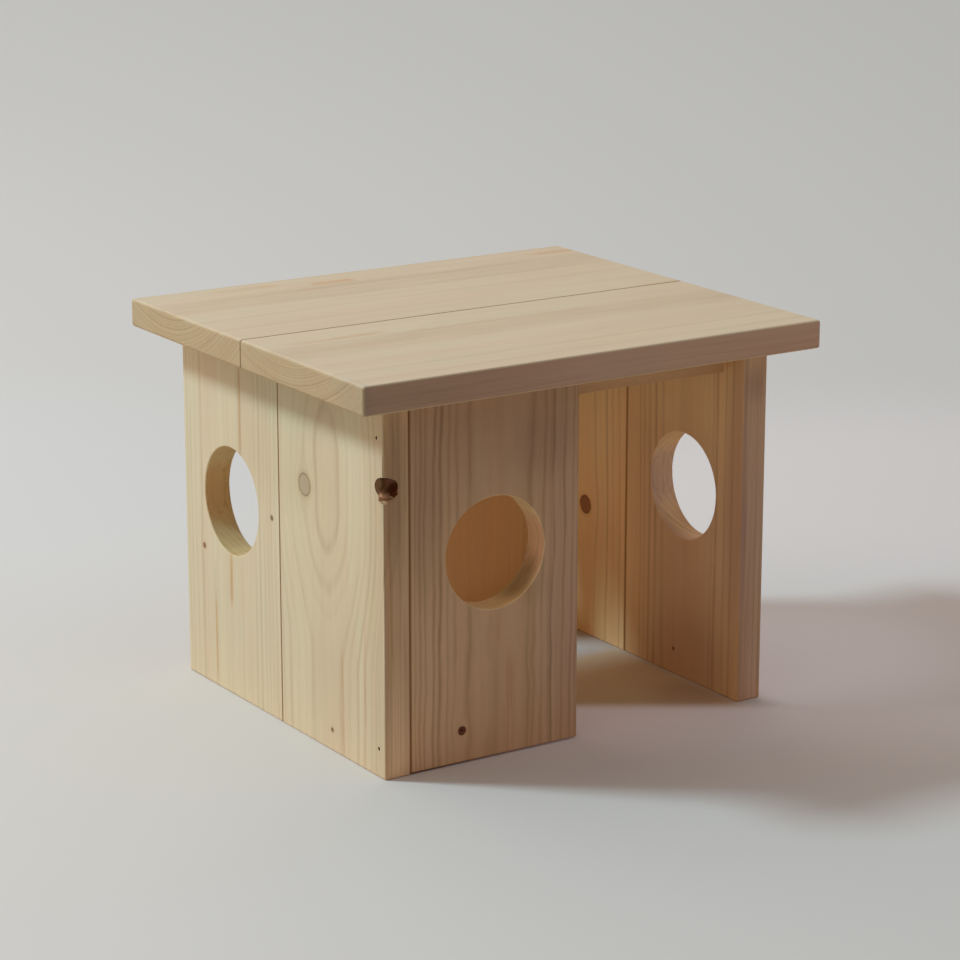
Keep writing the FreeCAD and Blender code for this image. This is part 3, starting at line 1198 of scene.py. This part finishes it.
@dataclass
class SideWalls:
    """The left and right walls: two upright boards each, doweled edge to edge."""

    outer: float = -140.0
    inner: float = 122.0
    knot: CornerKnot = field(default_factory=CornerKnot)
    middle_seam: Seam = Seam(Axis.FRONT_TO_BACK, 0.0)
    right_seam: Seam = Seam(Axis.FRONT_TO_BACK, 0.0, 1.7)
    corner_seam: Seam = Seam(Axis.ALONG_FRONT, -122.0, 1.5)
    left_tone: SpruceTone = SpruceTone(dark_lines=0.28, lines=0.05, edge=(1.03, 0.87, 0.77),
                                       far_side=(1.18, 1.12, 1.0))
    right_front_tone: SpruceTone = SpruceTone(early=paint(234, 200, 150), blush=paint(234, 190, 140),
                                              late=paint(150, 92, 50), edge=(0.86, 0.86, 1.05),
                                              far_side=(0.90, 0.94, 1.02), lines=0.07, dark_lines=0.42)
    right_rear_tone: SpruceTone = SpruceTone(early=paint(240, 210, 156), blush=paint(240, 198, 142),
                                             late=paint(160, 98, 50), edge=(0.95, 0.92, 0.92),
                                             far_side=(0.90, 0.94, 1.02), lines=0.07, dark_lines=0.42)
    # Painted shade: the foot of the left wall darker, against the light from the floor.
    left_foot: Colour = (0.91, 0.93, 0.96)
    # Painted shadow of the roof along the top of the left wall.
    left_top: tuple[Shade, ...] = (
        Shade((-140.0, -20.0, 214.0), (20.0, 140.0, 30.0), (0.84, 0.90, 0.92)),
        Shade((-140.0, 0.0, 172.0), (20.0, 96.0, 44.0), (0.95, 0.93, 0.90)),
    )
    pale_knot: Colour = paint(182, 162, 130)
    pale_rim: Colour = paint(136, 112, 80)
    dark_knot: Colour = paint(158, 106, 66)
    dark_rim: Colour = paint(112, 70, 42)
    bark: Colour = paint(44, 28, 18)
    resin: Colour = (0.90, 0.66, 0.44)
    pink: Colour = (0.92, 0.76, 0.68)
    left_front: Timber = Timber(
        "spruce_left_front", Axis.UP, Axis.FRONT_TO_BACK, Axis.ALONG_FRONT, outer,
        Heart(-56.5, 30.0, 3.9, 0.0, (Bend(155.0, 55.0, 18.0), Bend(185.0, 245.0, 7.0))), 3.1, left_tone,
        years=(
            DarkYear(0.0, 0.95, 1.6, height=130.0),
            DarkYear(0.0, 0.55, 1.6, height=103.0),
            DarkYear(18.0, 0.70, 1.5, height=30.0, high=128.0),
            DarkYear(27.5, 0.45, 1.4, Side.LOW, 30.0),
            DarkYear(37.0, 0.95, 1.4, Side.LOW, 30.0),
            DarkYear(36.0, 0.35, 1.4, Side.HIGH, 30.0),
            DarkYear(45.0, 0.70, 1.6, height=30.0),
            DarkYear(52.5, 0.50, 1.2, height=30.0),
            DarkYear(57.5, 0.50, 1.2, Side.LOW, 30.0),
            DarkYear(61.0, 0.45, 1.2, Side.LOW, 30.0),
        ),
        knots=(
            Knot((outer, -32.0, 161.5), (1.0, 0.12, 0.0), 7.2, KnotKind.SOUND, pale_knot, pale_rim),
            Knot((outer, -62.0, 13.5), (1.0, 0.1, 0.0), 1.5, KnotKind.PIN, pale_rim, bark),
        ),
        streaks=(
            Streak((outer, -73.8, 36.0), 74.0, 2.6, pink, 1.0),
            Streak((outer, -101.0, 45.0), 120.0, 1.8, pink, 0.9),
        ),
        seams=(middle_seam, corner_seam),
        shades=(
            Shade((outer, -62.0, -30.0), (30.0, 220.0, 170.0), left_foot),
            Shade((outer, -60.0, 105.0), (10.0, 90.0, 120.0), (0.975, 0.965, 0.94)),
            Shade((outer, -128.0, 115.0), (10.0, 34.0, 240.0), (0.90, 0.82, 0.78)),
            # Painted shade down the front edge under the roof, and painted light towards its foot.
            Shade((-131.0, -126.0, 182.0), (12.0, 6.0, 95.0), (0.66, 0.62, 0.62)),
            Shade((-131.0, -126.0, 0.0), (12.0, 6.0, 95.0), (1.32, 1.38, 1.46)),
            Shade((-137.0, -122.0, 173.4), (8.0, 6.5, 4.6), (0.88, 0.70, 0.60)),
            *left_top,
        ),
        wander=1.6)
    left_rear: Timber = Timber(
        "spruce_left_rear", Axis.UP, Axis.FRONT_TO_BACK, Axis.ALONG_FRONT, outer,
        Heart(67.2, 30.0, 3.9), 8.4, left_tone,
        years=(
            DarkYear(18.0, 0.85, 1.6, Side.LOW, low=148.0),
            DarkYear(18.0, 0.80, 1.7, Side.HIGH, high=82.0),
            DarkYear(18.0, 0.35, 1.5, Side.LOW, high=92.0),
            DarkYear(34.6, 0.90, 1.7, Side.HIGH),
            DarkYear(36.0, 0.75, 1.2, Side.LOW),
            DarkYear(42.0, 0.95, 1.5, Side.LOW),
            DarkYear(42.5, 0.45, 1.4, Side.HIGH),
            DarkYear(48.0, 0.60, 1.1),
            DarkYear(52.5, 0.55, 1.1),
            DarkYear(57.0, 0.55, 1.1, Side.LOW),
            DarkYear(62.0, 0.60, 1.2, Side.LOW),
        ),
        knots=(
            Knot((outer, 99.5, 91.0), (1.0, -0.1, 0.0), 1.9, KnotKind.PIN, dark_knot, bark),
            Knot((outer, 9.5, 130.5), (1.0, 0.1, 0.0), 1.6, KnotKind.PIN, pale_rim, bark),
        ),
        streaks=(
            Streak((outer, 64.0, 78.0), 44.0, 3.0, resin, 0.9),
            Streak((outer, 85.0, 34.0), 70.0, 2.0, resin, 0.8),
            Streak((outer, 49.0, 190.0), 80.0, 2.0, resin, 0.7),
        ),
        seams=(middle_seam,),
        bore=Bore((outer, 62.0, 129.0), Axis.ALONG_FRONT, (0.98, 1.0, 0.84)),
        shades=(Shade((outer, 62.0, -30.0), (30.0, 220.0, 170.0), left_foot), *left_top),
        wander=1.2, ripple=0.45)
    right_front: Timber = Timber(
        "spruce_right_front", Axis.UP, Axis.FRONT_TO_BACK, Axis.ALONG_FRONT, inner,
        Heart(-66.0, 32.0, 3.9, 0.01), 5.6, right_front_tone,
        years=(
            DarkYear(25.0, 0.55, 1.4, Side.HIGH),
            DarkYear(29.0, 0.45, 1.2, Side.LOW),
            DarkYear(33.0, 0.95, 1.5),
            DarkYear(39.5, 0.90, 1.5, Side.HIGH),
            DarkYear(42.0, 0.60, 1.3, Side.LOW),
            DarkYear(45.0, 0.60, 1.2, Side.HIGH),
            DarkYear(49.0, 0.60, 1.2),
        ),
        knots=(Knot((inner, -55.0, 17.0), (1.0, 0.1, 0.0), 1.2, KnotKind.PIN, dark_rim, bark),),
        seams=(right_seam,),
        bore=Bore((inner, -62.0, 129.0), Axis.ALONG_FRONT, (1.26, 1.34, 1.45)),
        shades=(
            # Painted shade and light on the inside face: darker at the foot, across the middle and by the
            # front plank, paler near the top.
            Shade((inner, -80.0, -30.0), (30.0, 140.0, 130.0), (0.70, 0.64, 0.58)),
            Shade((inner, -70.0, 90.0), (10.0, 90.0, 110.0), (0.84, 0.82, 0.92)),
            Shade((inner, -57.0, 192.0), (10.0, 80.0, 50.0), (1.07, 1.12, 1.16)),
            Shade((inner, -70.0, 18.0), (10.0, 76.0, 40.0), (0.90, 0.88, 0.94)),
            Shade((121.0, -119.0, 140.0), (8.0, 17.0, 150.0), (0.76, 0.70, 0.76)),
            # Painted shade down the front edge under the roof and across its middle, and painted light near
            # its foot.
            Shade((131.0, -126.0, 207.0), (12.0, 6.0, 18.0), (0.80, 0.78, 0.80)),
            Shade((131.0, -126.0, 120.0), (12.0, 6.0, 120.0), (0.90, 0.90, 0.96)),
            Shade((131.0, -126.0, -10.0), (12.0, 6.0, 80.0), (1.30, 1.42, 1.70)),
        ))
    right_rear: Timber = Timber(
        "spruce_right_rear", Axis.UP, Axis.FRONT_TO_BACK, Axis.ALONG_FRONT, inner,
        Heart(70.0, 34.0, 3.6, 0.01), 12.7, right_rear_tone,
        years=(
            DarkYear(34.0, 0.60, 1.5),
            DarkYear(47.0, 0.95, 1.5),
            DarkYear(54.0, 0.60, 1.3),
            DarkYear(62.0, 0.60, 1.3, Side.LOW),
        ),
        knots=(Knot((inner, 47.0, 91.0), (1.0, -0.08, 0.03), 6.4, KnotKind.SOUND, dark_knot, dark_rim),),
        seams=(right_seam,),
        shades=(
            # Painted light near the top of the inside face, and painted shade lower down.
            Shade((inner, 25.0, 165.0), (10.0, 50.0, 66.0), (1.04, 1.09, 1.14)),
            Shade((inner, 25.0, 48.0), (10.0, 50.0, 74.0), (0.92, 0.87, 0.88)),
        ))
    dowel: Timber = Timber(
        "beech_dowel", Axis.FRONT_TO_BACK, Axis.ALONG_FRONT, Axis.UP, 0.0, Heart(0.0, 60.0, 1.6), 2.2,
        SpruceTone(paint(205, 172, 132), paint(176, 138, 98), paint(206, 166, 130)))

    def build(self) -> None:
        """Makes the board with the corner knot, and dresses the other boards and the dowels."""
        CarvedBoard("left_wall_front_plank", self.left_front, self.knot.hollows()).build()
        self.knot.build()
        dress("left_wall_rear_plank", self.left_rear.material())
        dress("right_wall_front_plank", self.right_front.material())
        dress("right_wall_rear_plank", self.right_rear.material())
        beech = self.dowel.material()
        for node in ("left_wall_dowels", "right_wall_dowels"):
            dress(node, beech)


@dataclass
class EndPlanks:
    """The front and back boards, each with a window beside its doorway."""

    front: float = -124.0
    inside: float = 106.0
    branch: Colour = paint(124, 68, 42)
    bark: Colour = paint(56, 30, 18)
    front_board: Timber = Timber(
        "spruce_front", Axis.UP, Axis.ALONG_FRONT, Axis.FRONT_TO_BACK, front,
        Heart(-60.0, 30.0, 4.6, 0.012), 6.3,
        SpruceTone(early=paint(220, 186, 147), blush=paint(215, 172, 133), far_side=(1.15, 1.12, 1.0),
                   dark_lines=0.60),
        years=(
            DarkYear(7.5, 0.35, 1.6, Side.LOW, high=92.0),
            DarkYear(22.5, 0.65, 1.4),
            DarkYear(26.0, 0.50, 1.2, Side.HIGH, high=100.0),
            DarkYear(31.0, 0.60, 1.3),
            DarkYear(36.0, 0.50, 1.2),
            DarkYear(37.8, 0.95, 1.4, Side.HIGH),
            DarkYear(41.5, 0.95, 1.5, Side.LOW),
            DarkYear(46.0, 0.85, 1.4),
            DarkYear(52.5, 0.60, 1.2),
            DarkYear(56.0, 0.60, 1.2),
            DarkYear(59.5, 0.55, 1.1, Side.LOW),
        ),
        knots=(
            Knot((-86.0, front, 21.0), (0.05, 1.0, 0.0), 2.8, KnotKind.DEAD, branch, bark),
            Knot((-86.2, front, 21.3), (0.05, 1.0, 0.0), 0.9, KnotKind.PIN, bark, bark),
        ),
        streaks=(Streak((-52.0, front, 30.0), 90.0, 6.0, (0.92, 0.80, 0.76), 0.9),),
        seams=(Seam(Axis.ALONG_FRONT, -122.0, 1.5),),
        bore=Bore((-62.0, front, 129.0), Axis.FRONT_TO_BACK, (1.40, 1.66, 1.56)),
        shades=(
            # Painted shade across the top under the roof, and in the lower right of the window's bore.
            Shade((-60.0, front, 250.0), (260.0, 40.0, 130.0), (0.76, 0.72, 0.74)),
            Shade((-36.0, front + 11.0, 104.0), (24.0, 15.0, 26.0), (0.50, 0.44, 0.34)),
            Shade((-112.0, front, 155.0), (16.0, 12.0, 62.0), (0.86, 0.85, 0.88)),
            Shade((-108.0, front, 135.0), (24.0, 12.0, 62.0), (0.94, 0.91, 0.88)),
            Shade((-30.0, front, 190.0), (34.0, 12.0, 30.0), (0.91, 0.91, 0.92)),
            Shade((-8.0, front, 88.0), (32.0, 12.0, 130.0), (0.92, 0.91, 1.01)),
        ),
        wander=3.0, ripple=1.9)
    back_board: Timber = Timber(
        "spruce_back", Axis.UP, Axis.ALONG_FRONT, Axis.FRONT_TO_BACK, inside, Heart(56.0, 30.0, 4.4), 9.9,
        SpruceTone(early=paint(242, 206, 158), blush=paint(242, 196, 144), far_side=(0.86, 0.90, 0.97),
                   lines=0.04, fibre=0.08),
        years=(DarkYear(56.0, 0.4, side=Side.HIGH),),
        bore=Bore((62.0, inside, 129.0), Axis.FRONT_TO_BACK))

    def build(self) -> None:
        """Dresses both boards."""
        dress("front_plank", self.front_board.material())
        dress("back_plank", self.back_board.material())


@dataclass
class Rails:
    """The two rails that tie the corners under the roof."""

    front_face: float = -102.7
    rear_face: float = 84.7
    heart: Heart = Heart(140.0, 90.0, 2.8)
    tone: SpruceTone = SpruceTone(early=paint(217, 179, 136), blush=paint(215, 169, 124), lines=0.05,
                                  dark_lines=0.25)

    def build(self) -> None:
        """Dresses both rails."""
        for node, face, seed in (("front_rail", self.front_face, 4.4), ("rear_rail", self.rear_face, 7.7)):
            dress(node, Timber(f"spruce_{node}", Axis.ALONG_FRONT, Axis.UP, Axis.FRONT_TO_BACK, face,
                               self.heart, seed, self.tone).material())


@dataclass
class Roof:
    """The roof: two boards side by side on two battens."""

    top: float = 248.0
    under: float = 214.0
    resin: Colour = (0.92, 0.72, 0.54)
    rose: Colour = (0.93, 0.80, 0.73)
    seam: Seam = Seam(Axis.FRONT_TO_BACK, 0.0, 1.1)
    tone: SpruceTone = SpruceTone(early=paint(204, 183, 150), late=paint(160, 122, 82),
                                  blush=paint(205, 176, 143), lines=0.05, sawn_lines=0.50,
                                  edge=(0.91, 0.76, 0.82), edge_lines=0.2, far_side=(1.3, 1.25, 1.15))
    front: Timber = Timber(
        "spruce_roof_front", Axis.ALONG_FRONT, Axis.FRONT_TO_BACK, Axis.UP, top,
        Heart(-50.0, 112.0, 1.6), 1.7, tone,
        years=(DarkYear(2.0, 0.4, 2.6), DarkYear(60.0, 0.35, 1.4), DarkYear(80.0, 0.35, 1.3)),
        streaks=(
            Streak((-112.0, -27.0, top), 80.0, 6.0, rose, 1.0),
            Streak((20.0, -36.0, top), 260.0, 3.0, rose, 0.6),
        ),
        seams=(seam,),
        shades=(
            # Painted shade towards the left end of the front edge and painted light towards its right end;
            # the left end is darker at its front.
            Shade((-175.0, -147.0, 239.0), (190.0, 5.0, 30.0), (0.80, 0.81, 0.76)),
            Shade((-167.0, -145.0, 239.0), (12.0, 50.0, 30.0), (0.90, 0.92, 0.98)),
            Shade((175.0, -147.0, 239.0), (270.0, 5.0, 30.0), (1.25, 1.30, 1.28)),
        ),
        inward=-1.0, wander=1.6, ripple=0.4)
    rear: Timber = Timber(
        "spruce_roof_rear", Axis.ALONG_FRONT, Axis.FRONT_TO_BACK, Axis.UP, top,
        Heart(98.0, 91.0, 1.6), 14.2, replace(tone, edge=(0.96, 0.90, 0.88)),
        years=(DarkYear(10.0, 0.45, 2.0), DarkYear(44.0, 0.3, 1.4), DarkYear(70.0, 0.3, 1.3)),
        streaks=(
            Streak((-30.0, 121.0, top), 40.0, 9.0, resin, 1.0),
            Streak((160.0, 127.0, top), 74.0, 8.0, resin, 1.0),
            Streak((152.0, 0.0, top), 60.0, 7.0, resin, 0.8),
            Streak((-90.0, 131.0, top), 60.0, 7.0, resin, 0.6),
            Streak((20.0, 108.0, top), 300.0, 2.5, rose, 0.8),
        ),
        seams=(seam,),
        inward=-1.0, wander=1.6, ripple=0.4)
    batten_years: tuple[DarkYear, ...] = (DarkYear(14.0, 0.8),)

    def build(self) -> None:
        """Dresses the boards and the battens, and makes the screws."""
        dress("roof_front_plank", self.front.material())
        dress("roof_rear_plank", self.rear.material())
        for node, side, seed in (("roof_left_batten", -110.0, 3.9), ("roof_right_batten", 110.0, 5.2)):
            dress(node, Timber(f"spruce_{node}", Axis.FRONT_TO_BACK, Axis.ALONG_FRONT, Axis.UP, self.under,
                               Heart(side + 20.0, 30.0, 2.6), seed, years=self.batten_years).material())
            BattenScrews(f"{node}_screws", ScrewSizes(side)).build()


@dataclass
class Nails:
    """The finishing nails of the walls."""

    nodes: tuple[str, ...] = ("front_plank_nails", "back_plank_nails", "left_rail_nails",
                              "right_rail_nails")

    def build(self) -> None:
        """Dresses the nails of each joint."""
        steel = NAIL_STEEL.material()
        for node in self.nodes:
            dress(node, steel)


# ---- studio


@dataclass(frozen=True)
class Glow:
    """A broad soft light of the room, brightest in one direction."""

    towards: Triple
    colour: Colour
    focus: float = 2.0


@dataclass
class Studio:
    """Floor, light and camera. Lengths are in metres."""

    floor_side: float = 30.0
    floor_under: float = 0.0001
    floor_shown: Colour = (0.5645, 0.560, 0.541)
    floor_bounce: Colour = paint(200, 190, 176)
    inside_bounce: Colour = (0.92, 0.70, 0.50)
    inside_middle: Triple = (0.0, 0.14, 0.0)
    inside: Triple = (0.20, 0.30, 1.0)
    inside_edge: float = 0.05
    under_roof_middle: Triple = (0.0, -0.0635, 0.0)
    under_roof: Triple = (0.122, 0.0715, 1.0)
    under_roof_edge: float = 0.008
    # Painted shade and warm bounce light on the floor as seen under the roof.
    under_roof_tint: Colour = (0.94, 0.77, 0.50)
    doorway_line: Triple = (0.041, -0.083, 0.0)
    doorway_faces: Triple = (0.542, 0.840, 0.0)
    doorway_edge: tuple[float, float] = (-0.008, 0.012)
    doorway_reach: float = 0.13
    # Painted light: the share of the paper's lightness that glows on in the house's shadow, before the
    # doorway and beside the house.
    doorway_lift: Colour = (0.24, 0.16, 0.17)
    side_from: Triple = (0.132, 0.5, 1.0)
    side_edge: float = 0.02
    side_lift: Shade = Shade((0.19, -0.06, 0.0), (0.21, 0.20, 1.0), (0.41, 0.315, 0.345))
    paler: tuple[Shade, ...] = (
        Shade((0.54, 0.23, 0.0), (0.46, 0.42, 1.0), (1.12, 1.09, 1.11)),
        Shade((-0.05, 0.62, 0.0), (0.40, 0.50, 1.0), (1.02, 1.04, 1.06)),
    )
    # Painted light pooled on the floor towards the back, and painted shade towards the front right, under the
    # roof.
    inside_shades: tuple[Shade, ...] = (
        Shade((0.092, 0.0, 0.0), (0.085, 0.085, 1.0), (1.20, 1.26, 1.44)),
        Shade((0.108, -0.100, 0.0), (0.045, 0.045, 1.0), (0.84, 0.78, 0.86)),
    )
    evenness: float = 0.26
    falls_off: float = 0.46
    paler_by: float = 0.08
    palest: Colour = (0.9, 0.9, 0.9)
    open_light: Colour = (0.884, 0.943, 1.009)
    lamp_share: Triple = (0.342, 0.450, 0.500)
    key_place: Triple = (-1.765, 1.311, 2.143)
    key_side: float = 0.48
    key_power: float = 56.5
    key_colour: Colour = (0.714, 1.0, 1.19)
    glows: tuple[Glow, ...] = (
        Glow((0.0, 0.0, 1.0), (0.61, 0.57, 0.555)),
        Glow((-1.0, 0.0, 0.0), (0.54, 0.42, 0.335)),
        Glow((1.0, 0.0, 0.0), (0.12, 0.17, 0.36)),
        Glow((0.0, -1.0, 0.0), (0.05, 0.03, 0.02)),
        Glow((0.0, 1.0, 0.0), (1.50, 1.25, 1.10)),
    )
    backdrop: Colour = paint(196, 194, 192)
    camera_place: Triple = (-1.0503, -1.6383, 0.6636)
    camera_turn: float = -32.837
    camera_tilt: float = 15.155
    focal_pixels: float = 3158.0
    image_pixels: float = 960.0
    sensor: float = 36.0
    sees_to: float = 100.0

    def floor(self) -> None:
        """Lays the plain pale floor."""
        half, low = self.floor_side / 2, -self.floor_under
        mesh = bpy.data.meshes.new("floor")
        mesh.from_pydata([(-half, -half, low), (half, -half, low), (half, half, low), (-half, half, low)],
                         [], [(0, 1, 2, 3)])
        mesh.materials.append(self.floor_material())
        placed("floor", mesh)

    def light_on_floor(self, paper: Surface) -> Arrow:
        """How much red, green and blue light the open floor gets at a point, each 1 under the house.

        Args:
            paper: The floor's material.

        Returns:
            The light of the lamp and the room together.
        """
        place = Vector(self.key_place)
        to_lamp = paper.place.scaled(-1.0) + place
        square = to_lamp.dot(to_lamp)
        here = place.z * place.length / (place.length_squared ** 2)
        lamp = to_lamp.dot(place.normalized()) * place.z / (square * square) / here
        share = Vector(self.lamp_share)
        return paper.vector(*share).scaled(lamp) + (Vector((1.0, 1.0, 1.0)) - share)

    def paler_to_the_left(self, point: Arrow) -> Signal:
        """How light the paper is from place to place, which is less towards the right.

        Args:
            point: The place in metres.

        Returns:
            The share of its lightness that it keeps there.
        """
        turn = radians(self.camera_turn)
        aside = point.dot((cos(turn), sin(turn), 0.0))
        away = (point - self.camera_place).length()
        return (aside / away * -self.falls_off + 1.0).held(1.0 - self.paler_by, 1.0 + self.paler_by)

    def outside(self, paper: Surface, middle: Triple, halves: Triple) -> Signal:
        """How far a point lies outside an upright box, or less than 0 inside it.

        Args:
            paper: The floor's material.
            middle: The middle of the box.
            halves: Its half sizes.

        Returns:
            The distance in metres along X or Y.
        """
        aside, away, _ = paper.parts((paper.place - middle).math("ABSOLUTE") - halves)
        return aside.math("MAXIMUM", away)

    def shadow_lift(self, paper: Surface, behind: Signal) -> Arrow:
        """How much of the paper's lightness stays in the house's shadow, before the doorway and beside it.

        Args:
            paper: The floor's material.
            behind: How far the point lies behind the line along the doorway.

        Returns:
            The share for red, green and blue.
        """
        inward = behind.step(*self.doorway_edge)
        before = behind.step(-self.doorway_reach, 0.0) * inward.inverted()
        beside = self.outside(paper, (0.0, 0.0, 0.0), self.side_from).step(0.0, self.side_edge) * inward
        beside = beside * self.side_lift.share(paper.place)
        return (paper.vector(*self.doorway_lift).scaled(before)
                + paper.vector(*self.side_lift.colour).scaled(beside))

    def floor_material(self) -> bpy.types.Material:
        """Matt paper that looks evenly lit to the eye, and is warmer in the light that it throws back.
        Under the roof it carries painted shade, and in the house's shadow painted light.

        Returns:
            The material.
        """
        paper = Surface("studio_paper")
        point, ray = paper.place, paper.seen()
        shown = Signal(paper.tree, ray["Is Camera Ray"]).math("MAXIMUM", ray["Is Glossy Ray"])
        light = self.light_on_floor(paper)
        inside = self.outside(paper, self.inside_middle, self.inside)
        inside = inside.step(self.inside_edge, -self.inside_edge)
        bounce = paper.mix(self.floor_bounce, self.inside_bounce, inside)
        shade = light.dot((0.33, 0.34, 0.33)) ** self.evenness * self.paler_to_the_left(point)
        wanted = paper.vector(*self.floor_shown).scaled(shade)
        for patch in self.paler:
            wanted = paper.mix(wanted, patch.colour, patch.share(point), "MULTIPLY")
        behind = (point - self.doorway_line).dot(self.doorway_faces)
        open_light = light * self.open_light
        colour = (wanted / open_light).math("MINIMUM", self.palest)
        # Painted light: inside the house's shadow, part of the paper's lightness glows on.
        colour = colour - colour * self.shadow_lift(paper, behind)
        missing = wanted - colour * open_light
        # Painted shade and warm bounce light on the floor under the roof, with a painted pool of light and a
        # patch of shade.
        covered = self.outside(paper, self.under_roof_middle, self.under_roof)
        covered = covered.step(self.under_roof_edge, -self.under_roof_edge) * behind.step(*self.doorway_edge)
        colour = paper.mix(colour, self.under_roof_tint, covered, "MULTIPLY")
        for patch in self.inside_shades:
            colour = paper.mix(colour, patch.colour, patch.share(point) * covered, "MULTIPLY")
        return paper.finished({
            "Base Color": paper.mix(bounce, colour, shown), "Roughness": 1.0, "Specular IOR Level": 0.0,
            "Emission Color": missing, "Emission Strength": shown})

    def key_light(self) -> None:
        """Hangs one soft lamp behind the left side of the house."""
        lamp = bpy.data.lights.new("key", "AREA")
        lamp.shape = "DISK"
        lamp.size = self.key_side
        lamp.energy = self.key_power
        lamp.color = self.key_colour
        holder = placed("key", lamp)
        holder.location = self.key_place
        holder.rotation_euler = (-Vector(self.key_place)).to_track_quat("-Z", "Y").to_euler()

    def sky(self) -> None:
        """Lights the room softly from where each glow stands."""
        world = bpy.data.worlds.new("studio")
        world.use_nodes = True
        room = Sheet(world.node_tree)
        direction = Arrow(room.tree, room.add("ShaderNodeTexCoord").outputs["Generated"])
        light = room.vector(0.0, 0.0, 0.0)
        for glow in self.glows:
            share = direction.dot(glow.towards).math("MAXIMUM", 0.0) ** glow.focus
            light = light + room.vector(*glow.colour).scaled(share)
        colour = room.mix(light, self.backdrop, room.seen()["Is Camera Ray"])
        background = room.add("ShaderNodeBackground", {"Color": colour})
        room.add("ShaderNodeOutputWorld", {"Surface": background.outputs["Background"]})
        bpy.context.scene.world = world

    def camera(self) -> None:
        """Sets up the camera."""
        data = bpy.data.cameras.new("camera")
        data.sensor_width = self.sensor
        data.lens = self.focal_pixels / self.image_pixels * self.sensor
        data.clip_end = self.sees_to
        camera = placed("camera", data)
        camera.location = self.camera_place
        camera.rotation_euler = (radians(90.0 - self.camera_tilt), 0.0, radians(self.camera_turn))
        bpy.context.scene.camera = camera

    def build(self) -> None:
        """Makes the floor, the light and the camera."""
        self.floor()
        self.key_light()
        self.sky()
        self.camera()
        bpy.context.scene.view_settings.view_transform = "Standard"
        LOG.info("studio holds a floor, a lamp, the room's light and a camera")


def main() -> None:
    """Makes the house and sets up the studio."""
    logging.basicConfig(level=logging.INFO, format="%(name)s: %(message)s")
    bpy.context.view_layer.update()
    for part in (SideWalls(), EndPlanks(), Rails(), Roof(), Nails(), Studio()):
        part.build()


if __name__ == "__main__":
    main()
